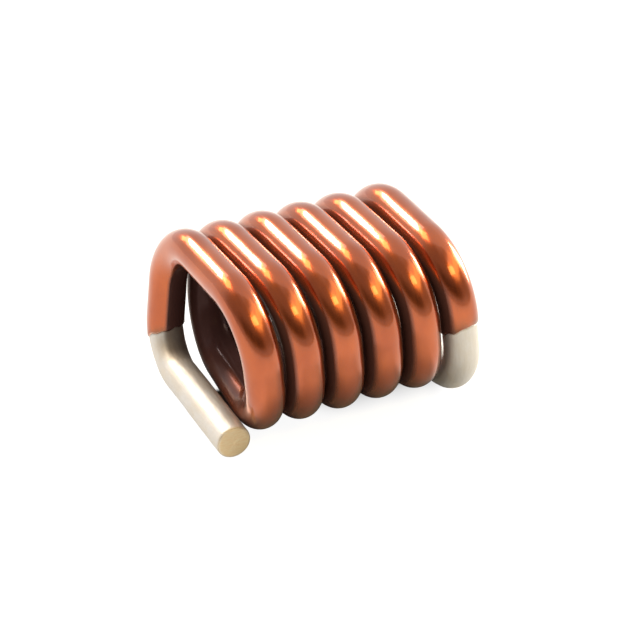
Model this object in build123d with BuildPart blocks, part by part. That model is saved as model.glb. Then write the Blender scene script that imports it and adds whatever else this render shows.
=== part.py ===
from build123d import *
import os

# Lengths are in millimetres. X runs along the coil's axis, -Y is its front and Z = 0 is the plane
# that its two soldered leads rest on. The origin is in the middle of the coil on that plane.

# Wire and its layers
bare_diameter = 0.85
enamel_thickness = 0.06
solder_thickness = 0.025
tip_chamfer = 0.05

# Winding presses the round wire slightly flat, so it is wider along the coil than across a turn
flattening = 0.02

# Turns, measured over the enamel
turns = 6
turn_gap = 0.09
coil_width = 5.67
coil_height = 4.35
inside_radius = 1.00

# Share of one pitch that the wire has gained at each corner of a turn
back_top_gain = 0.01
front_top_gain = 0.20
front_bottom_gain = 0.61

# Irregularities of this coil: each turn sits higher than the one before, and some corners, given here
# by the number of their turn, lie off the even winding by a distance along the coil
rise_per_turn = 0.03
back_bottom_shift = {1: -0.03, 5: 0.05}
back_top_shift = {0: 0.06, 1: -0.03, 5: 0.11}
front_top_shift = {5: -0.02}
front_bottom_shift = {5: 0.10}

# Leads
standoff = 0.185
lead_setback = 0.70
near_lead_offset = 0.15
near_lead_splay = 0.03
far_lead_splay = 0.10
near_stripped_length = 4.65
far_stripped_length = 5.85

# Values that follow from the sizes above
wire_diameter = bare_diameter + 2 * enamel_thickness
wire_thickness = wire_diameter - flattening
tinned_diameter = bare_diameter + 2 * solder_thickness
pitch = wire_diameter + turn_gap
half_depth = (coil_width - wire_thickness) / 2
loop_height = coil_height - wire_thickness
lead_height = (tinned_diameter - flattening) / 2
tip_depth = coil_width / 2 - lead_setback
near_lead_x = -near_lead_offset
far_lead_x = (turns - 1 + front_bottom_gain) * pitch + front_bottom_shift.get(turns - 1, 0)
near_tip_x = near_lead_x - near_lead_splay
far_tip_x = far_lead_x + far_lead_splay
axis_middle = (near_tip_x + far_tip_x) / 2

# The bends leave a little of the shortest side straight
longest_bend = 0.95 * min(half_depth, loop_height / 2)
bend_radius = min(inside_radius + wire_thickness / 2, longest_bend)


def corner(turn, gain, shift, y, height):
    """A corner of a turn, gain being the share of a pitch gained there and shift the turns' offsets."""
    gained = turn + gain
    x = gained * pitch + shift.get(turn, 0) - axis_middle
    z = standoff + wire_thickness / 2 + gained * rise_per_turn + height
    return Vector(x, y, z)


# Centre line of the wire: near lead, up the back, over the top, down the front, far lead
near_tip = Vector(near_tip_x - axis_middle, -tip_depth, lead_height)
near_bend = Vector(near_lead_x - axis_middle, half_depth, lead_height)
far_bend = Vector(far_lead_x - axis_middle, -half_depth, lead_height)
far_tip = Vector(far_tip_x - axis_middle, tip_depth, lead_height)

points = [near_tip, near_bend]
for turn in range(turns):
    if turn > 0:
        points.append(corner(turn, 0, back_bottom_shift, half_depth, 0))
    points.append(corner(turn, back_top_gain, back_top_shift, half_depth, loop_height))
    points.append(corner(turn, front_top_gain, front_top_shift, -half_depth, loop_height))
    if turn < turns - 1:
        points.append(corner(turn, front_bottom_gain, front_bottom_shift, -half_depth, 0))
points += [far_bend, far_tip]

with BuildLine() as centre_line:
    FilletPolyline(points, radius=bend_radius)
route = centre_line.wire()

# Places along the route, as shares of its length, where the solder's cap and the enamel end
cap_share = solder_thickness / route.length
near_share = near_stripped_length / route.length
far_share = 1 - far_stripped_length / route.length


def end_plane(path, position):
    """Plane square to a path at its start (0) or end (1), facing out of the path."""
    outward = path % position * (1 if position else -1)
    return Plane(origin=path @ position, x_dir=(1, 0, 0), z_dir=outward)


def section(diameter):
    """Cross-section of the wire or of its solder, with the flattening of the winding."""
    Ellipse(diameter / 2, (diameter - flattening) / 2)


# One wire, enamelled over the turns and stripped to bare copper at both leads
with BuildPart() as coil_wire:
    enamelled_route = route.trim(near_share, far_share)
    with BuildSketch(end_plane(enamelled_route, 0)):
        section(wire_diameter)
    sweep(path=enamelled_route)
    for start, end, tip in [(cap_share, near_share, 0), (far_share, 1 - cap_share, 1)]:
        bare_route = route.trim(start, end)
        with BuildSketch(end_plane(bare_route, tip)):
            section(bare_diameter)
        sweep(path=bare_route)
        tip_face = coil_wire.faces().sort_by_distance(bare_route @ tip)[0]
        chamfer(tip_face.edges(), tip_chamfer)

# Solder on the near lead, closed over its cut tip
with BuildPart() as solder_coat_near:
    near_route = route.trim(0, near_share)
    with BuildSketch(end_plane(near_route, 0)):
        section(tinned_diameter)
    sweep(path=near_route)
    near_face = solder_coat_near.faces().sort_by_distance(near_route @ 0)[0]
    chamfer(near_face.edges(), tip_chamfer)
    add(coil_wire.part, mode=Mode.SUBTRACT)

# Solder on the far lead
with BuildPart() as solder_coat_far:
    far_route = route.trim(far_share, 1)
    with BuildSketch(end_plane(far_route, 1)):
        section(tinned_diameter)
    sweep(path=far_route)
    far_face = solder_coat_far.faces().sort_by_distance(far_route @ 1)[0]
    chamfer(far_face.edges(), tip_chamfer)
    add(coil_wire.part, mode=Mode.SUBTRACT)

coil_wire.part.label = "coil_wire"
solder_coat_near.part.label = "solder_coat_near"
solder_coat_far.part.label = "solder_coat_far"

os.makedirs("parts", exist_ok=True)
export_step(coil_wire.part, "parts/coil_wire.step")
export_step(solder_coat_near.part, "parts/solder_coat_near.step")
export_step(solder_coat_far.part, "parts/solder_coat_far.step")
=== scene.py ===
"""Looks of the air core inductor: enamelled copper turns with two tinned leads, in a pale studio."""
import math

import bpy
import numpy as np
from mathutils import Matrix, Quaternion, Vector


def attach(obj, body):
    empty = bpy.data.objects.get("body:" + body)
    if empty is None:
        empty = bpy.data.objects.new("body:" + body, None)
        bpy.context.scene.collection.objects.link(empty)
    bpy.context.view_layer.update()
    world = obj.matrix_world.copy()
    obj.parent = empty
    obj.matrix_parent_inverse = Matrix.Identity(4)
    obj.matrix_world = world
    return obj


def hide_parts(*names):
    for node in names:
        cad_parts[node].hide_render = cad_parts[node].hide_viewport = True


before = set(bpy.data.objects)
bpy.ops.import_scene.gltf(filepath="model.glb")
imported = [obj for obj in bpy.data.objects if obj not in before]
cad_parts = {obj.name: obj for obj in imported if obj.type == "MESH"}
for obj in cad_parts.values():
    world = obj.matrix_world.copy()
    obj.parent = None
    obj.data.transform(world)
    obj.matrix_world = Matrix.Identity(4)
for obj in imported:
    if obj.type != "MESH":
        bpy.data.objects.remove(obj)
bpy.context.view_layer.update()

# Lengths of the object are in millimetres, as in the part's source, until a mesh is built from them
MM = 0.001

# Wire and its layers
BARE_DIAMETER = 0.85
ENAMEL_THICKNESS = 0.06
SOLDER_THICKNESS = 0.025
FLATTENING = 0.02

# Turns, measured over the enamel
TURNS = 6
TURN_GAP = 0.09
COIL_WIDTH = 5.67
COIL_HEIGHT = 4.35
INSIDE_RADIUS = 1.00
BACK_TOP_GAIN = 0.01
FRONT_TOP_GAIN = 0.20
FRONT_BOTTOM_GAIN = 0.61
RISE_PER_TURN = 0.03

# Corners that lie off the even winding, by the number of their turn, and their distances along the coil
BACK_BOTTOM_SHIFT = {1: -0.03, 5: 0.05}
BACK_TOP_SHIFT = {0: 0.06, 1: -0.03, 5: 0.11}
FRONT_TOP_SHIFT = {5: -0.02}
FRONT_BOTTOM_SHIFT = {5: 0.10}

# Leads
STANDOFF = 0.185
LEAD_SETBACK = 0.70
NEAR_LEAD_OFFSET = 0.15
NEAR_LEAD_SPLAY = 0.03
FAR_LEAD_SPLAY = 0.10
NEAR_STRIPPED_LENGTH = 4.65
FAR_STRIPPED_LENGTH = 5.85

# Values that follow from the sizes above
WIRE_DIAMETER = BARE_DIAMETER + 2 * ENAMEL_THICKNESS
WIRE_THICKNESS = WIRE_DIAMETER - FLATTENING
TINNED_DIAMETER = BARE_DIAMETER + 2 * SOLDER_THICKNESS
PITCH = WIRE_DIAMETER + TURN_GAP
HALF_DEPTH = (COIL_WIDTH - WIRE_THICKNESS) / 2
LOOP_HEIGHT = COIL_HEIGHT - WIRE_THICKNESS
COIL_TOP = STANDOFF + COIL_HEIGHT
LEAD_HEIGHT = (TINNED_DIAMETER - FLATTENING) / 2
TIP_DEPTH = COIL_WIDTH / 2 - LEAD_SETBACK
NEAR_LEAD_X = -NEAR_LEAD_OFFSET
FAR_LEAD_X = (TURNS - 1 + FRONT_BOTTOM_GAIN) * PITCH + FRONT_BOTTOM_SHIFT.get(TURNS - 1, 0)
NEAR_TIP_X = NEAR_LEAD_X - NEAR_LEAD_SPLAY
FAR_TIP_X = FAR_LEAD_X + FAR_LEAD_SPLAY
AXIS_MIDDLE = (NEAR_TIP_X + FAR_TIP_X) / 2
BEND_RADIUS = INSIDE_RADIUS + WIRE_THICKNESS / 2

# The near lead's bend is a little sharper than the winding's, which keeps it inside the same outline
NEAR_BEND_RADIUS = BEND_RADIUS - 0.35

# Springback bows the sides out a little between the bends, which stay inside the sides' outline
SIDE_BOW = 0.03
TOP_BOW = 0.02

# Meshes: points round the wire and the distance between its rings
SEGMENTS = 64
RING_STEP = 0.1
SOLDER_STEP = 0.05
ROUTE_STEP = 0.02


def corner(turn, gain, shift, y, height):
    """A corner of a turn, gain being the share of a pitch gained there and shift the turns' offsets."""
    gained = turn + gain
    x = gained * PITCH + shift.get(turn, 0) - AXIS_MIDDLE
    z = STANDOFF + WIRE_THICKNESS / 2 + gained * RISE_PER_TURN + height
    return Vector((x, y, z))


def route_corners():
    """Corners of the wire's centre line: near lead, up the back, over the top, down the front, far lead."""
    near_tip = Vector((NEAR_TIP_X - AXIS_MIDDLE, -TIP_DEPTH, LEAD_HEIGHT))
    near_bend = Vector((NEAR_LEAD_X - AXIS_MIDDLE, HALF_DEPTH, LEAD_HEIGHT))
    far_bend = Vector((FAR_LEAD_X - AXIS_MIDDLE, -HALF_DEPTH, LEAD_HEIGHT))
    far_tip = Vector((FAR_TIP_X - AXIS_MIDDLE, TIP_DEPTH, LEAD_HEIGHT))
    points = [near_tip, near_bend]
    for turn in range(TURNS):
        if turn > 0:
            points.append(corner(turn, 0, BACK_BOTTOM_SHIFT, HALF_DEPTH, 0))
        points.append(corner(turn, BACK_TOP_GAIN, BACK_TOP_SHIFT, HALF_DEPTH, LOOP_HEIGHT))
        points.append(corner(turn, FRONT_TOP_GAIN, FRONT_TOP_SHIFT, -HALF_DEPTH, LOOP_HEIGHT))
        if turn < TURNS - 1:
            points.append(corner(turn, FRONT_BOTTOM_GAIN, FRONT_BOTTOM_SHIFT, -HALF_DEPTH, 0))
    return points + [far_bend, far_tip]


def rounded(points, radii):
    """Points ROUTE_STEP apart along the straight runs between the corners and the arcs that round them."""
    line = [points[0]]

    def run_to(end):
        start = line[-1]
        count = max(1, round((end - start).length / ROUTE_STEP))
        line.extend(start.lerp(end, k / count) for k in range(1, count + 1))

    for before, at, after, radius in zip(points, points[1:], points[2:], radii):
        coming = (at - before).normalized()
        going = (after - at).normalized()
        turned = coming.angle(going)
        run_to(at - coming * radius * math.tan(turned / 2))
        centre = at + (going - coming).normalized() * radius / math.cos(turned / 2)
        spoke = line[-1] - centre
        axis = coming.cross(going)
        count = max(1, round(turned * radius / ROUTE_STEP))
        line.extend(centre + Quaternion(axis, turned * k / count) @ spoke for k in range(1, count + 1))
    run_to(points[-1])
    return np.array(line)


def bowed(line):
    """The centre line with its sides bowed out between the bends."""
    middle = STANDOFF + WIRE_THICKNESS / 2 + LOOP_HEIGHT / 2
    height = (line[:, 2] - middle) / (LOOP_HEIGHT / 2)
    depth = line[:, 1] / HALF_DEPTH
    out = line.copy()
    out[:, 1] -= depth * SIDE_BOW * height**2
    out[:, 2] -= TOP_BOW * depth**2 * np.clip(height, 0, None)
    return out


CORNERS = route_corners()
RADII = [NEAR_BEND_RADIUS] + [BEND_RADIUS] * (len(CORNERS) - 3)
ROUTE = bowed(rounded(CORNERS, RADII))
TANGENTS = np.gradient(ROUTE, axis=0)
TANGENTS /= np.linalg.norm(TANGENTS, axis=1)[:, None]
LENGTHS = np.concatenate([[0], np.cumsum(np.linalg.norm(np.diff(ROUTE, axis=0), axis=1))])
TOTAL_LENGTH = LENGTHS[-1]


def along(values, s):
    """Values of the route's points, read at the lengths s along it."""
    return np.stack([np.interp(s, LENGTHS, values[:, k]) for k in range(3)], axis=-1)


def on_wire(s, angle, radius):
    """Points at lengths s along the wire, at an angle round it and a distance from its centre line."""
    inner = np.clip(s, 0, TOTAL_LENGTH)
    tangent = along(TANGENTS, inner)
    tangent /= np.linalg.norm(tangent, axis=-1)[..., None]
    side = np.array([1.0, 0, 0]) - tangent * tangent[..., :1]
    side /= np.linalg.norm(side, axis=-1)[..., None]
    other = np.cross(tangent, side)
    centre = along(ROUTE, inner) + tangent * (s - inner)[..., None]
    offset = side * np.cos(angle)[..., None] + other * np.sin(angle)[..., None]
    return centre + offset * radius[..., None]


def surface_and_outward(s, angle, radius):
    """Points on the wire's surface and the directions, one long, that point out of it there."""
    surface = on_wire(s, angle, radius)
    return surface, on_wire(s, angle, radius + 1.0) - surface


def ripple(s, angle, size, seed, wave, waves_round=3, terms=12):
    """Smooth unevenness of about one size, from waves along and round the wire that start at random."""
    random = np.random.default_rng(seed)
    summed = np.zeros(np.broadcast(s, angle).shape)
    for _ in range(terms):
        along_wire = random.uniform(-1, 1) * 2 * math.pi / wave
        round_wire = random.integers(-waves_round, waves_round + 1)
        summed += np.cos(along_wire * s + round_wire * angle + random.uniform(0, 2 * math.pi))
    return size * summed / math.sqrt(terms / 2)


def tube(name, s, angle, radius, facts):
    """A tube through rings of points, closed by a point at each end, with facts as values on its points."""
    rings, segments = s.shape
    points = on_wire(s, angle, radius).reshape(-1, 3)
    ends = np.array([points[:segments].mean(axis=0), points[-segments:].mean(axis=0)])
    vertices = np.concatenate([points, ends]) * MM
    faces = []
    for ring in range(rings - 1):
        for k in range(segments):
            here = ring * segments + k
            beside = ring * segments + (k + 1) % segments
            faces.append((here, beside, beside + segments, here + segments))
    first_end = len(points)
    last_ring = (rings - 1) * segments
    for k in range(segments):
        faces.append((first_end, (k + 1) % segments, k))
        faces.append((first_end + 1, last_ring + k, last_ring + (k + 1) % segments))
    mesh = bpy.data.meshes.new(name)
    mesh.from_pydata(vertices.tolist(), [], faces)
    space = np.stack([s, radius * np.cos(angle), radius * np.sin(angle)], axis=-1).reshape(-1, 3)
    space_ends = np.array([[s[0].mean(), 0, 0], [s[-1].mean(), 0, 0]])
    attribute = mesh.attributes.new("wire_space", "FLOAT_VECTOR", "POINT")
    attribute.data.foreach_set("vector", np.concatenate([space, space_ends]).ravel().astype(np.float32))
    for fact_name, values in facts.items():
        flat = values.reshape(-1)
        both = np.array([flat[:segments].mean(), flat[-segments:].mean()])
        attribute = mesh.attributes.new(fact_name, "FLOAT", "POINT")
        attribute.data.foreach_set("value", np.concatenate([flat, both]).astype(np.float32))
    mesh.validate()
    mesh.shade_smooth()
    piece = bpy.data.objects.new(name, mesh)
    bpy.context.scene.collection.objects.link(piece)
    return piece


# Borders of the enamel, whose edge is ragged and runs askew: furthest along the wire at an angle round it
NEAR_BORDER = NEAR_STRIPPED_LENGTH
FAR_BORDER = TOTAL_LENGTH - FAR_STRIPPED_LENGTH
BORDER_RAG = 0.02
NEAR_SKEW = 0.13
NEAR_SKEW_ANGLE = math.radians(-41)
FAR_SKEW = 0.22
FAR_SKEW_ANGLE = math.radians(-103)
EDGE_LENGTH = 0.05
SCORCH_LENGTH = 0.45


def rag(angle, seed):
    """Unevenness of the enamel's edge at each angle round the wire."""
    return ripple(0 * angle, angle, BORDER_RAG, seed, wave=1.0, waves_round=9, terms=16)


def near_border(angle):
    """Length along the wire at which the enamel starts, at each angle round it."""
    return NEAR_BORDER + NEAR_SKEW * np.cos(angle - NEAR_SKEW_ANGLE) + rag(angle, seed=3)


def far_border(angle):
    """Length along the wire at which the enamel ends, at each angle round it."""
    return FAR_BORDER + FAR_SKEW * np.cos(angle - FAR_SKEW_ANGLE) + rag(angle, seed=5)


def spread(start, end, step):
    """Lengths from start to end, about a step apart."""
    count = max(2, round((end - start) / step))
    return np.linspace(start, end, count + 1)


def flattened(angle, diameter):
    """Radius at each angle of a section that is a little wide along the coil."""
    half_width = diameter / 2
    half_thickness = (diameter - FLATTENING) / 2
    across = np.hypot(half_thickness * np.cos(angle), half_width * np.sin(angle))
    return half_width * half_thickness / across


def reached(limits, values):
    """How far values are on the way from the first of two limits to the second, from 0 to 1."""
    first, second = limits
    return np.clip((values - first) / (second - first), 0, 1)


# Where shade is painted on the coil: inside it and deep between its turns. Each pair holds the limits at
# which the painted shade starts and is full. A facing is a part of the surface's outward direction, and the
# rest are millimetres
AXIS_FACING = (0.15, 0.55)
NEIGHBOUR_FACING = (0.62, 0.82)
TOP_HEIGHT = (COIL_TOP - 0.9, COIL_TOP - 0.4)
TOP_EXTRA_LEFT = 0.22
TOP_EXTRA_RIGHT = 0.30

# Painted shade on the undersides of the turns, in part and on their left sides in full
UNDERSIDE_HEIGHT = (1.4, 0.8)
UNDERSIDE_FACING = (0.2, -0.3)
UNDERSIDE_LEFT_FACING = (0.3, 0.6)
UNDERSIDE_SHARE = 0.45

# The outer sides of the coil's end turns, in the open and free of the painted shade over a length of wire
# from the enamel's borders, apart from the first turn's run along the bottom
OPEN_LENGTH = 11.6
OPEN_FADE = 0.6
OPEN_FACING = (0.30, 0.42)
BOTTOM_RUN_HEIGHT = (1.4, 1.0)
BOTTOM_RUN_DEPTH = (2.0, 1.4)
BOTTOM_RUN_SHARE = 0.7


def axis_facing(surface, outward):
    """How much the surface faces the coil's axis: 1 straight at it and -1 straight away."""
    to_axis = np.array([0, 0, STANDOFF + COIL_HEIGHT / 2]) - surface
    to_axis[..., 0] = 0
    to_axis /= np.linalg.norm(to_axis, axis=-1)[..., None]
    return np.sum(outward * to_axis, axis=-1)


def painted_shade_masks(s, angle, radius):
    """Painted shade, each from 0 to 1: how far inside the coil, and how deep between its turns or under
    them.
    """
    surface, outward = surface_and_outward(s, angle, radius)
    rightward = outward[..., 0]
    height = surface[..., 2]
    inside = reached(AXIS_FACING, axis_facing(surface, outward))
    extra = np.where(rightward < 0, TOP_EXTRA_LEFT, TOP_EXTRA_RIGHT) * reached(TOP_HEIGHT, height)
    deep = reached(NEIGHBOUR_FACING, np.abs(rightward) - extra)
    low = reached(UNDERSIDE_HEIGHT, height) * reached(UNDERSIDE_FACING, outward[..., 2])
    left = reached(UNDERSIDE_LEFT_FACING, -rightward)
    under = low * (UNDERSIDE_SHARE + (1 - UNDERSIDE_SHARE) * left)
    first_end = NEAR_BORDER + OPEN_LENGTH
    last_start = FAR_BORDER - OPEN_LENGTH
    first = reached((first_end, first_end - OPEN_FADE), s)
    last = reached((last_start, last_start + OPEN_FADE), s)
    bottom_run = reached(BOTTOM_RUN_HEIGHT, height) * reached(BOTTOM_RUN_DEPTH, np.abs(surface[..., 1]))
    first = first * (1 - BOTTOM_RUN_SHARE * bottom_run)
    shut = (1 - first * reached(OPEN_FACING, -rightward)) * (1 - last * reached(OPEN_FACING, rightward))
    return inside * shut, np.maximum(deep * shut, under)


# How far the wire's radius strays to either side of its mean, which lies as far under the nominal one
WIRE_UNEVENNESS = 0.002


def make_coil_wire():
    """The whole wire: bare under the solder, enamelled over the turns."""
    angle = np.linspace(0, 2 * math.pi, SEGMENTS, endpoint=False)
    near_edge = near_border(angle)
    far_edge = far_border(angle)
    bare = flattened(angle, BARE_DIAMETER)
    coated = flattened(angle, WIRE_DIAMETER)
    rows = []
    for share in spread(0, 1, RING_STEP / NEAR_BORDER):
        rows.append((SOLDER_THICKNESS + share * (near_edge - SOLDER_THICKNESS), bare))
    rows.append((near_edge + EDGE_LENGTH / 3, (bare + 2 * coated) / 3))
    inner_start = near_edge + EDGE_LENGTH
    inner_end = far_edge - EDGE_LENGTH
    rows_inside = round((FAR_BORDER - NEAR_BORDER) / RING_STEP)
    for k in range(rows_inside + 1):
        share = k / rows_inside
        rows.append((inner_start + share * (inner_end - inner_start), coated))
    rows.append((far_edge - EDGE_LENGTH / 3, (bare + 2 * coated) / 3))
    last = TOTAL_LENGTH - SOLDER_THICKNESS
    for share in spread(0, 1, RING_STEP / FAR_STRIPPED_LENGTH):
        rows.append((far_edge + share * (last - far_edge), bare))
    s = np.array([lengths for lengths, _ in rows])
    radius = np.array([radii for _, radii in rows])
    around = np.broadcast_to(angle, s.shape)
    uneven = ripple(s, around, size=0.0012, seed=11, wave=2.2)
    uneven += ripple(s, around, size=0.0005, seed=12, wave=0.7, waves_round=5)
    radius = radius - WIRE_UNEVENNESS + np.clip(uneven, -WIRE_UNEVENNESS, WIRE_UNEVENNESS)
    from_edge = np.minimum(s - near_edge, far_edge - s)
    scorch = np.clip(1 - from_edge / SCORCH_LENGTH, 0, 1)
    stripped = (from_edge < EDGE_LENGTH / 2).astype(float)
    # Masks of the painted shade, kept on the mesh as the facts inside and deep
    inside, deep = painted_shade_masks(s, around, radius)
    facts = {"scorch": scorch, "stripped": stripped, "inside": inside, "deep": deep}
    return tube("enamelled_coil_wire", s, around, radius, facts)


# The solder's closed tip: its rounded edge, and the face that was cut, which is dished beyond its rim
TIP_ROUNDING = 0.08
ROUNDING_ANGLES = (30, 60, 90)
INNER_TIP_RINGS = (0.02, 0.5, 1.0)
CUT_RINGS = (0.97, 0.8, 0.6, 0.4, 0.2, 0.04)
DISH_DEPTH = 0.006
DISH_ANGLE = 0.6
DISH_RIM = (0, 0.4)

# How much thinner than its nominal thickness the solder is, usually and at both ends of its range
SOLDER_THINNER = 0.006
SOLDER_THINNEST = 0.016
SOLDER_THICKEST = 0.0005

# The side of a lead's upright that faces the coil's axis, on which shade is painted, with limits as above
INNER_FACING = (0.30, 0.65)
INNER_FROM_TIP = (3.3, 3.9)
INNER_OUTER_SIDE = (-0.55, -0.35)


def make_solder(name, border, tip_at, seed):
    """The solder on one lead: a thin uneven layer from the enamel's edge to the closed tip."""
    angle = np.linspace(0, 2 * math.pi, SEGMENTS, endpoint=False)
    edge = border(angle)
    edge_at = edge.mean()
    direction = 1 if tip_at > edge_at else -1
    bare = flattened(angle, BARE_DIAMETER)
    tinned = flattened(angle, TINNED_DIAMETER)
    cap = tip_at - direction * SOLDER_THICKNESS
    # Each row has its lengths along the wire, its radii and its kind: 0 inside, 1 outside, -1 on the cut
    rows = []
    for share in INNER_TIP_RINGS:
        rows.append((cap + 0 * angle, bare * share, 0))
    for share in spread(0, 1, RING_STEP / abs(cap - edge_at))[1:]:
        rows.append((cap + share * (edge - cap), bare, 0))
    shoulder = tip_at - direction * TIP_ROUNDING
    count = round(abs(shoulder - edge_at) / SOLDER_STEP)
    for k in range(count + 1):
        share = k / count
        rows.append((edge + share * (shoulder - edge), tinned, 1))
    for turned in ROUNDING_ANGLES:
        back = TIP_ROUNDING * (1 - math.sin(math.radians(turned)))
        drop = TIP_ROUNDING * (1 - math.cos(math.radians(turned)))
        rows.append((tip_at - direction * back + 0 * angle, tinned - drop, 1 - turned / 90))
    rim = tinned - TIP_ROUNDING
    for share in CUT_RINGS:
        rows.append((tip_at + 0 * angle, rim * share, -1))
    s = np.array([lengths for lengths, _, _ in rows])
    radius = np.array([radii for _, radii, _ in rows])
    kind = np.array([np.full(SEGMENTS, float(kind)) for _, _, kind in rows])
    around = np.broadcast_to(angle, s.shape)
    outside_share = np.clip(kind, 0, 1)
    uneven = ripple(s, around, size=0.0035, seed=seed, wave=1.3, waves_round=2)
    uneven += ripple(s, around, size=0.0015, seed=seed + 1, wave=0.4, waves_round=5)
    radius = radius + outside_share * np.clip(uneven - SOLDER_THINNER, -SOLDER_THINNEST, -SOLDER_THICKEST)
    surface, outward = surface_and_outward(s, around, radius)
    # Painted shade on the upright's side that faces the coil
    inner = reached(INNER_FACING, axis_facing(surface, outward))
    inner = inner * reached(INNER_FROM_TIP, np.abs(s - tip_at))
    inner = inner * reached(INNER_OUTER_SIDE, outward[..., 0] * np.sign(surface[..., 1]))
    from_rim = reached(DISH_RIM, 1 - radius / radius[-len(CUT_RINGS)])
    dish = (kind < 0) * from_rim * DISH_DEPTH * (1 - np.cos(around - DISH_ANGLE))
    return tube(name, s - direction * dish, around, radius, {"cut": 1 - outside_share, "inner": inner})


def adder(tree):
    """A function that adds a node to the tree, with its inputs given by name, or by number as in i_0."""

    def add(kind, settings=None, **inputs):
        node = tree.nodes.new("ShaderNode" + kind)
        for key, value in (settings or {}).items():
            setattr(node, key, value)
        for key, value in inputs.items():
            socket = node.inputs[int(key[2:]) if key.startswith("i_") else key.replace("_", " ")]
            if isinstance(value, bpy.types.NodeSocket):
                tree.links.new(value, socket)
            else:
                socket.default_value = value
        return node

    return add


def nodes_of(material):
    """The material's shader, a function that adds a node, and one that links a value to the shader."""
    material.use_nodes = True
    tree = material.node_tree
    shader = tree.nodes["Principled BSDF"]

    def link(value, name):
        tree.links.new(value, shader.inputs[name])

    return shader, adder(tree), link


def scaled_space(add, scale):
    """Coordinates along and round the wire, stretched by a scale for each."""
    space = add("Attribute", {"attribute_name": "wire_space"})
    return add("VectorMath", {"operation": "MULTIPLY"}, i_0=space.outputs["Vector"], i_1=scale).outputs[0]


def noise(add, scale, detail, roughness=0.5):
    """Noise from 0 to 1 in the wire's own space, with scales per millimetre along and across it."""
    vector = scaled_space(add, scale)
    node = add("TexNoise", None, Vector=vector, Scale=1.0, Detail=detail, Roughness=roughness)
    return node.outputs["Fac"]


def ramp(add, value, limits, results=(0.0, 1.0)):
    """Value mapped from between two limits to between two results, and held beyond the limits."""
    low, high = limits
    out_low, out_high = results
    node = add("MapRange", None, Value=value, From_Min=low, From_Max=high, To_Min=out_low, To_Max=out_high)
    return node.outputs["Result"]


def faded(add, factor, first, second):
    """One number turning into another as the factor goes from 0 to 1."""
    return ramp(add, factor, (0.0, 1.0), (first, second))


def mixed(add, factor, first, second):
    """One colour turning into another as the factor goes from 0 to 1."""
    node = add("Mix", {"data_type": "RGBA"}, i_0=factor, i_6=first, i_7=second)
    return node.outputs[2]


def math_node(add, operation, *values):
    """The result of a calculation on one or two values."""
    inputs = {f"i_{k}": value for k, value in enumerate(values)}
    return add("Math", {"operation": operation}, **inputs).outputs[0]


def product(add, first, second):
    """Two values multiplied."""
    return math_node(add, "MULTIPLY", first, second)


def total(add, first, second):
    """Two values added."""
    return math_node(add, "ADD", first, second)


def larger(add, first, second):
    """The larger of two values."""
    return math_node(add, "MAXIMUM", first, second)


def fact(add, name):
    """A value kept on the mesh's points."""
    return add("Attribute", {"attribute_name": name}).outputs["Fac"]


def bump(add, height, strength, distance, under=None):
    """The surface's direction over a relief, its depth in metres, that may lie on another one."""
    inputs = {"Normal": under} if under else {}
    node = add("Bump", None, Height=height, Strength=strength, Distance=distance, **inputs)
    return node.outputs["Normal"]


# Painted shade: how far from a surface its neighbours darken it, in metres, and the openness from deep to
# clear
SHADING_REACH = 0.0022
OPENNESS = (0.03, 0.34)


def painted_groove_shade(add):
    """Mask of painted shade: 1 deep between the turns or under them, and 0 in the open."""
    openness = add("AmbientOcclusion", {"samples": 8}, Distance=SHADING_REACH).outputs["AO"]
    return larger(add, ramp(add, openness, OPENNESS, (1.0, 0.0)), fact(add, "deep"))


# Range that most of a noise lies in
NOISE_RANGE = (0.3, 0.7)

COPPER_BRIGHT = (0.54, 0.115, 0.022, 1)
COPPER_DEEP = (0.42, 0.078, 0.014, 1)
# Painted shade: dull dark colours of the copper deep between the turns and inside the coil
GROOVE_PAINTED_SHADE = (0.120, 0.048, 0.036, 1)
INSIDE_PAINTED_SHADE = (0.105, 0.046, 0.040, 1)
COPPER_BARE = (0.80, 0.42, 0.26, 1)
SCORCHED = (0.20, 0.085, 0.030, 1)

# Noises of the enamelled copper, scaled per millimetre along and across the wire: clouds in its tone,
# lines from drawing, unevenness of the enamel, specks, and patches of the browning
CLOUD_SCALE = (0.9, 1.6, 1.6)
DRAWN_SCALE = (0.8, 16, 16)
PEEL_SCALE = (5, 5, 5)
SPECK_SCALE = (30, 30, 30)
PATCH_SCALE = (4, 5, 5)

# Ranges of those noises over which their marks come or go, and the strength of the marks
CLOUD_RANGE = (0.32, 0.68)
STREAK_RANGE = (0.30, 0.45)
STREAK_STRENGTH = 0.22
SPECK_RANGE = (0.74, 0.80)
SPECK_STRENGTH = 0.6
PATCH_RANGE = (0.35, 0.65)
PATCH_STRENGTHS = (0.3, 1.0)
COPPER_ROUGHNESS = (0.18, 0.25)
CLOUD_ROUGHNESS = 0.04

# The enamel's gloss, and what is left of it where shade is painted
ENAMEL_IOR = 1.56
ENAMEL_ROUGHNESS = 0.05
COPPER_SPECULAR = 0.5
PAINTED_SHADE_METALLIC = 0.08
PAINTED_SHADE_SPECULAR = 0.04
PAINTED_SHADE_COAT = 0.05


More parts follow.
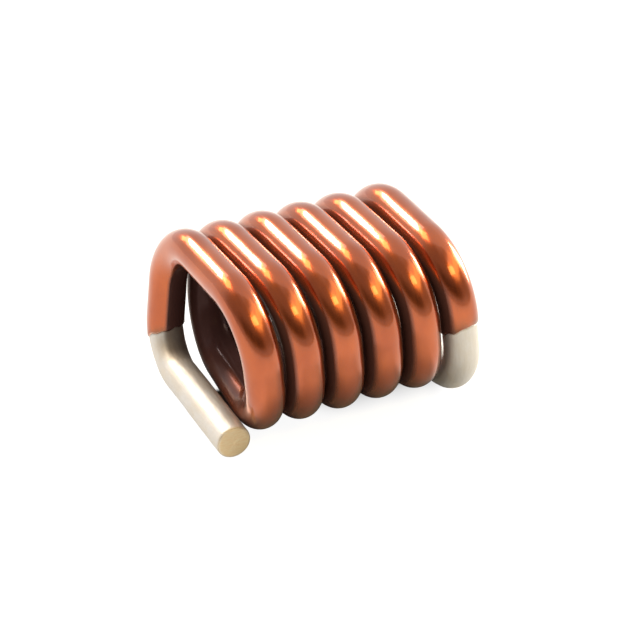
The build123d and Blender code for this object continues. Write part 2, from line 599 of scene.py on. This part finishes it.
def enamelled_copper():
    """Drawn copper wire under a clear amber enamel, browned where it was stripped, with shade painted in
    the coil.
    """
    material = bpy.data.materials.new("enamelled_copper")
    shader, add, link = nodes_of(material)
    cloud = noise(add, CLOUD_SCALE, detail=4)
    drawn = noise(add, DRAWN_SCALE, detail=4, roughness=0.6)
    peel = noise(add, PEEL_SCALE, detail=2)
    specks = noise(add, SPECK_SCALE, detail=1)
    patches = noise(add, PATCH_SCALE, detail=4)
    colour = mixed(add, ramp(add, cloud, CLOUD_RANGE), COPPER_DEEP, COPPER_BRIGHT)
    streaks = ramp(add, drawn, STREAK_RANGE, (STREAK_STRENGTH, 0.0))
    colour = mixed(add, streaks, colour, COPPER_DEEP)
    dirt = ramp(add, specks, SPECK_RANGE, (0.0, SPECK_STRENGTH))
    colour = mixed(add, dirt, colour, SCORCHED)
    scorch = fact(add, "scorch")
    patchy = ramp(add, patches, PATCH_RANGE, PATCH_STRENGTHS)
    browned = product(add, product(add, scorch, scorch), patchy)
    colour = mixed(add, browned, colour, SCORCHED)
    colour = mixed(add, fact(add, "stripped"), colour, COPPER_BARE)
    # Painted shade between, under and inside the turns: darker copper with little gloss left
    between = painted_groove_shade(add)
    inside = fact(add, "inside")
    colour = mixed(add, between, colour, GROOVE_PAINTED_SHADE)
    link(mixed(add, inside, colour, INSIDE_PAINTED_SHADE), "Base Color")
    painted_shade = larger(add, between, inside)
    link(faded(add, painted_shade, 1.0, PAINTED_SHADE_METALLIC), "Metallic")
    link(faded(add, painted_shade, COPPER_SPECULAR, PAINTED_SHADE_SPECULAR), "Specular IOR Level")
    link(faded(add, painted_shade, 1.0, PAINTED_SHADE_COAT), "Coat Weight")
    rough = ramp(add, drawn, NOISE_RANGE, COPPER_ROUGHNESS)
    link(total(add, rough, product(add, cloud, CLOUD_ROUGHNESS)), "Roughness")
    shader.inputs["Coat IOR"].default_value = ENAMEL_IOR
    shader.inputs["Coat Roughness"].default_value = ENAMEL_ROUGHNESS
    drawn_lines = bump(add, drawn, strength=0.12, distance=0.000012)
    relief = bump(add, peel, strength=0.20, distance=0.000010, under=drawn_lines)
    link(relief, "Normal")
    link(relief, "Coat Normal")
    return material


TIN_BRIGHT = (0.81, 0.785, 0.755, 1)
TIN_DULL = (0.79, 0.73, 0.64, 1)
# Painted shade on the side of a lead that faces the coil
TIN_PAINTED_SHADE = (0.30, 0.25, 0.21, 1)
CUT_TAN = (0.90, 0.73, 0.50, 1)
CUT_PALE = (0.93, 0.81, 0.60, 1)
TIN_METALLIC = 0.74
TIN_PAINTED_SHADE_METALLIC = 0.3
TIN_ROUGHNESS = (0.48, 0.62)
CUT_EXTRA_ROUGHNESS = 0.15

# Noises of the tin, scaled as above: clouds in its tone, grain, wiped lines, and lines of the cut
TIN_CLOUD_SCALE = (1.6, 2.6, 2.6)
GRAIN_SCALE = (14, 14, 14)
WIPED_SCALE = (1.5, 12, 12)
SHEARED_SCALE = (1, 5, 26)
TIN_CLOUD_RANGE = (0.35, 0.70)
SHEARED_RANGE = (0.35, 0.65)


def tin_solder():
    """Dipped tin, satin and slightly uneven, with a duller tan face where the wire was cut, and shade
    painted facing the coil.
    """
    material = bpy.data.materials.new("tin_solder")
    _, add, link = nodes_of(material)
    cloud = noise(add, TIN_CLOUD_SCALE, detail=5, roughness=0.6)
    grain = noise(add, GRAIN_SCALE, detail=4, roughness=0.65)
    wiped = noise(add, WIPED_SCALE, detail=3)
    sheared = noise(add, SHEARED_SCALE, detail=3)
    cut = fact(add, "cut")
    inner = fact(add, "inner")
    colour = mixed(add, ramp(add, cloud, TIN_CLOUD_RANGE), TIN_BRIGHT, TIN_DULL)
    cut_colour = mixed(add, ramp(add, sheared, SHEARED_RANGE), CUT_TAN, CUT_PALE)
    colour = mixed(add, cut, colour, cut_colour)
    # Painted shade, dark and dull, where the lead faces the coil
    link(mixed(add, inner, colour, TIN_PAINTED_SHADE), "Base Color")
    link(faded(add, inner, TIN_METALLIC, TIN_PAINTED_SHADE_METALLIC), "Metallic")
    rough = ramp(add, grain, NOISE_RANGE, TIN_ROUGHNESS)
    link(total(add, rough, product(add, cut, CUT_EXTRA_ROUGHNESS)), "Roughness")
    wiped_lines = bump(add, wiped, strength=0.45, distance=0.000016)
    link(bump(add, grain, strength=0.45, distance=0.000012, under=wiped_lines), "Normal")
    return material


def dress():
    """Builds the three pieces in place of their solids."""
    copper = enamelled_copper()
    tin = tin_solder()
    wire = make_coil_wire()
    near = make_solder("near_solder", near_border, 0.0, seed=21)
    far = make_solder("far_solder", far_border, TOTAL_LENGTH, seed=31)
    made = [
        (wire, "coil_wire", copper, "enamelled_copper"),
        (near, "solder_coat_near", tin, "tin_solder"),
        (far, "solder_coat_far", tin, "tin_solder"),
    ]
    for piece, node, material, slot in made:
        piece.data.materials.append(material)
        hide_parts(node)
        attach(piece, "root")


# Camera, at the photograph's angle: degrees, millimetres, and a focal length in pixels of its frame
PHOTO_PIXELS = 640
FOCAL_PIXELS = 2458.19
VIEW_AZIMUTH = -27.515
VIEW_ELEVATION = 31.836
VIEW_ROLL = 2.451
VIEW_DISTANCE = 61.228
AIM = Vector((-0.03, 0, 2.3))
AIM_RIGHT = -0.129
AIM_UP = -0.266
SENSOR_WIDTH = 36.0


def direction(azimuth, elevation):
    """Unit vector that way: azimuth 0 is +Y and 90 is +X, elevation is above the floor, in degrees."""
    a = math.radians(azimuth)
    e = math.radians(elevation)
    return Vector((math.sin(a) * math.cos(e), math.cos(a) * math.cos(e), math.sin(e)))


def photo_camera():
    """The camera, at the place that the photograph was taken from."""
    data = bpy.data.cameras.new("photo_camera")
    data.sensor_width = SENSOR_WIDTH
    data.lens = SENSOR_WIDTH * FOCAL_PIXELS / PHOTO_PIXELS
    data.clip_start = 0.001
    data.clip_end = 10
    camera = bpy.data.objects.new("photo_camera", data)
    bpy.context.scene.collection.objects.link(camera)
    forward = direction(-VIEW_AZIMUTH, -VIEW_ELEVATION)
    right = forward.cross(Vector((0, 0, 1))).normalized()
    up = right.cross(forward)
    place = AIM - right * AIM_RIGHT + up * AIM_UP - forward * VIEW_DISTANCE
    camera.location = place * MM
    camera.rotation_mode = "QUATERNION"
    level = forward.to_track_quat("-Z", "Y")
    camera.rotation_quaternion = level @ Quaternion((0, 0, 1), math.radians(VIEW_ROLL))
    bpy.context.scene.camera = camera


# Studio, in metres: a pale floor, a tent that only reflections see, and soft lamps
FLOOR_SIZE = 1.2
FLOOR_BELOW_LEADS = 0.000002
TENT_RADIUS = 0.4
LAMP_DISTANCE = 0.3

# Degrees between the points of the tent
TENT_STEP = 4

# Light of the world, and colours and glow of the floor, which is white where nothing shades it
AMBIENT = 0.5
FLOOR_COLOUR = (0.36, 0.36, 0.36, 1)
FLOOR_SHADED = (0.05, 0.045, 0.045, 1)
FLOOR_GLOW_SEEN = 0.92
FLOOR_GLOW_REFLECTED = 0.70
WHITE = (1, 1, 1, 1)

# Shades on the floor, under the coil and behind it as seen and round it as reflected, in metres: middle,
# half of the size and width of the soft edge, first along X and then along Y
SHADE_SEEN = ((0.0003, 0.0030, 0.0002), (0.000025, 0.000875, 0.0002))
SHADE_SEEN_BEHIND = ((0.0017, 0.0028, 0.0014), (0.0014, 0.0031, 0.0022))
SHADE_REFLECTED = ((0.0, 0.0040, 0.0015), (0.0, 0.0080, 0.0065))


def seen_directly(add):
    """1 for camera, glossy and transmitted rays, and 0 for the rest."""
    path = add("LightPath")
    shown = larger(add, path.outputs["Is Camera Ray"], path.outputs["Is Glossy Ray"])
    return larger(add, shown, path.outputs["Is Transmission Ray"])


def make_world():
    """White behind the object, and plain soft light all round it."""
    world = bpy.data.worlds.new("studio")
    bpy.context.scene.world = world
    world.use_nodes = True
    tree = world.node_tree
    add = adder(tree)
    strength = faded(add, seen_directly(add), AMBIENT, 1.0)
    background = tree.nodes["Background"]
    background.inputs["Color"].default_value = WHITE
    tree.links.new(strength, background.inputs["Strength"])


def outside(add, place, shade):
    """0 in the middle of a shade on the floor and 1 beyond its edge."""
    squares = []
    for axis, (middle, half, softness) in zip("XY", shade):
        distance = math_node(add, "ABSOLUTE", math_node(add, "SUBTRACT", place.outputs[axis], middle))
        beyond = ramp(add, distance, (half - softness, half))
        squares.append(product(add, beyond, beyond))
    away = math_node(add, "SQRT", total(add, squares[0], squares[1]))
    return add("MapRange", {"interpolation_type": "SMOOTHSTEP"}, Value=away).outputs["Result"]


def make_floor():
    """A pale floor that stays white around the object and keeps its shadow."""
    half = FLOOR_SIZE / 2
    corners = [(-half, -half), (half, -half), (half, half), (-half, half)]
    mesh = bpy.data.meshes.new("floor")
    mesh.from_pydata([(x, y, -FLOOR_BELOW_LEADS) for x, y in corners], [], [(0, 1, 2, 3)])
    floor = bpy.data.objects.new("floor", mesh)
    bpy.context.scene.collection.objects.link(floor)
    material = bpy.data.materials.new("floor")
    shader, add, link = nodes_of(material)
    shader.inputs["Roughness"].default_value = 1.0
    shader.inputs["Specular IOR Level"].default_value = 0.0
    shader.inputs["Emission Color"].default_value = WHITE
    place = add("SeparateXYZ", None, Vector=add("TexCoord").outputs["Object"])
    path = add("LightPath")
    reflected = larger(add, path.outputs["Is Glossy Ray"], path.outputs["Is Transmission Ray"])
    unshaded = product(add, outside(add, place, SHADE_SEEN), outside(add, place, SHADE_SEEN_BEHIND))
    link(mixed(add, unshaded, FLOOR_SHADED, FLOOR_COLOUR), "Base Color")
    seen_glow = product(add, product(add, path.outputs["Is Camera Ray"], unshaded), FLOOR_GLOW_SEEN)
    around = outside(add, place, SHADE_REFLECTED)
    reflected_glow = product(add, product(add, reflected, around), FLOOR_GLOW_REFLECTED)
    link(total(add, seen_glow, reflected_glow), "Emission Strength")
    material.cycles.emission_sampling = "NONE"
    mesh.materials.append(material)


def smooth(limits, value):
    """0 before the first of two limits, 1 beyond the second, and a smooth step between them."""
    share = reached(limits, value)
    return share * share * (3 - 2 * share)


# Levels of the tent's parts, and the levels between which its colour turns from the room's to white
ROOM_COLOUR = (1.0, 0.80, 0.60, 1)
ROOM_WHITENS = (0.35, 0.65)
BACKDROP_LEVEL = 0.95
ROOF_LEVEL = 0.6
ROOM_LEVEL = 0.40
DARK_LEVEL = 0.12
TABLE_LEVEL = 0.60

# Edges of those parts, as azimuths or elevations in degrees between which one turns into the next
LEFT_ROOM = (48, 80)
RIGHT_ROOM = (95, 115)
RIGHT_ROOM_TOP = (28, 62)
RIGHT_ROOM_ABOVE = (62, 75)
ROOF_FROM = (66, 90)
CAMERA_AZIMUTH = -152
CAMERA_SIDES = (30, 60)
CAMERA_TOP = (22, 46)
TABLE_SIDES = (70, 95)
TABLE_TOP = (6, 16)


def tent_level(azimuth, elevation):
    """Brightness of the tent: white backdrop and roof behind the object, dim room on the camera's side."""
    right = smooth(RIGHT_ROOM, azimuth)
    low_right = right * (1 - smooth(RIGHT_ROOM_TOP, elevation))
    high_right = right * smooth(RIGHT_ROOM_ABOVE, elevation)
    room = max(smooth(LEFT_ROOM, -azimuth), low_right, high_right)
    level = BACKDROP_LEVEL + (ROOM_LEVEL - BACKDROP_LEVEL) * room
    from_camera = abs((azimuth - CAMERA_AZIMUTH + 180) % 360 - 180)
    dark = (1 - smooth(CAMERA_SIDES, from_camera)) * (1 - smooth(CAMERA_TOP, elevation))
    level += (DARK_LEVEL - level) * dark
    level += (ROOF_LEVEL - level) * room * smooth(ROOF_FROM, elevation)
    table = (1 - smooth(TABLE_SIDES, from_camera)) * (1 - smooth(TABLE_TOP, elevation))
    return level + (TABLE_LEVEL - level) * table


def make_tent():
    """A half sphere round the object that only its reflections see."""
    azimuths = range(-180, 180, TENT_STEP)
    elevations = range(0, 90, TENT_STEP)
    points = []
    levels = []
    for elevation in elevations:
        for azimuth in azimuths:
            points.append(direction(azimuth, elevation) * TENT_RADIUS)
            levels.append(tent_level(azimuth, elevation))
    points.append(Vector((0, 0, TENT_RADIUS)))
    levels.append(sum(levels[-len(azimuths):]) / len(azimuths))
    across = len(azimuths)
    faces = []
    for row in range(len(elevations) - 1):
        for k in range(across):
            here = row * across + k
            beside = row * across + (k + 1) % across
            faces.append((here, here + across, beside + across, beside))
    top = (len(elevations) - 1) * across
    faces.extend((top + k, len(points) - 1, top + (k + 1) % across) for k in range(across))
    mesh = bpy.data.meshes.new("tent")
    mesh.from_pydata(points, [], faces)
    attribute = mesh.attributes.new("level", "FLOAT", "POINT")
    attribute.data.foreach_set("value", levels)
    tent = bpy.data.objects.new("tent", mesh)
    bpy.context.scene.collection.objects.link(tent)
    material = bpy.data.materials.new("tent")
    _, add, _ = nodes_of(material)
    level = fact(add, "level")
    colour = mixed(add, ramp(add, level, ROOM_WHITENS), ROOM_COLOUR, WHITE)
    glow = add("Emission", None, Color=colour, Strength=level)
    tree = material.node_tree
    tree.links.new(glow.outputs[0], tree.nodes["Material Output"].inputs["Surface"])
    material.cycles.emission_sampling = "NONE"
    mesh.materials.append(material)
    tent.visible_camera = False
    tent.visible_diffuse = False
    tent.visible_shadow = False


# Lamps: name, azimuth and elevation, width and height, all four in degrees, then level and colour
LAMPS = [
    ("back_lamp", -17, 38.5, 20, 9.5, 16, (1, 1, 1)),
    ("back_halo", -17, 40, 30, 24, 2.2, (1, 1, 1)),
    ("back_glint_low", -14, 24, 14, 8, 6, (1, 0.66, 0.24)),
    ("back_glint_high", -36, 54, 22, 18, 6, (1, 0.66, 0.24)),
    ("side_lamp", 77, 14, 18, 28, 15, (1, 1, 1)),
    ("side_halo", 90, 30, 14, 20, 5, (1, 0.86, 0.62)),
    ("front_glow", 138, 53, 50, 28, 0.9, (1, 0.68, 0.12)),
    ("front_lamp_dim", 126, 45, 42, 18, 1.2, (1, 0.8, 0.2)),
    ("front_lamp_bright", 171, 52, 26, 12, 5, (1, 0.82, 0.25)),
]


def make_lamp(name, azimuth, elevation, wide, tall, level, colour):
    """A soft rectangular lamp facing the object, its width and height given as angles in degrees."""
    data = bpy.data.lights.new(name, "AREA")
    data.shape = "RECTANGLE"
    data.size = 2 * LAMP_DISTANCE * math.tan(math.radians(wide / 2))
    data.size_y = 2 * LAMP_DISTANCE * math.tan(math.radians(tall / 2))
    data.energy = math.pi * data.size * data.size_y * level
    data.color = colour
    light = bpy.data.objects.new(name, data)
    bpy.context.scene.collection.objects.link(light)
    towards = direction(azimuth, elevation)
    light.location = towards * LAMP_DISTANCE
    light.rotation_mode = "QUATERNION"
    light.rotation_quaternion = (-towards).to_track_quat("-Z", "Y")


def make_studio():
    """The floor, the tent and the lamps."""
    make_world()
    make_floor()
    make_tent()
    for lamp in LAMPS:
        make_lamp(*lamp)


dress()
photo_camera()
make_studio()
bpy.context.scene.view_settings.view_transform = "Standard"
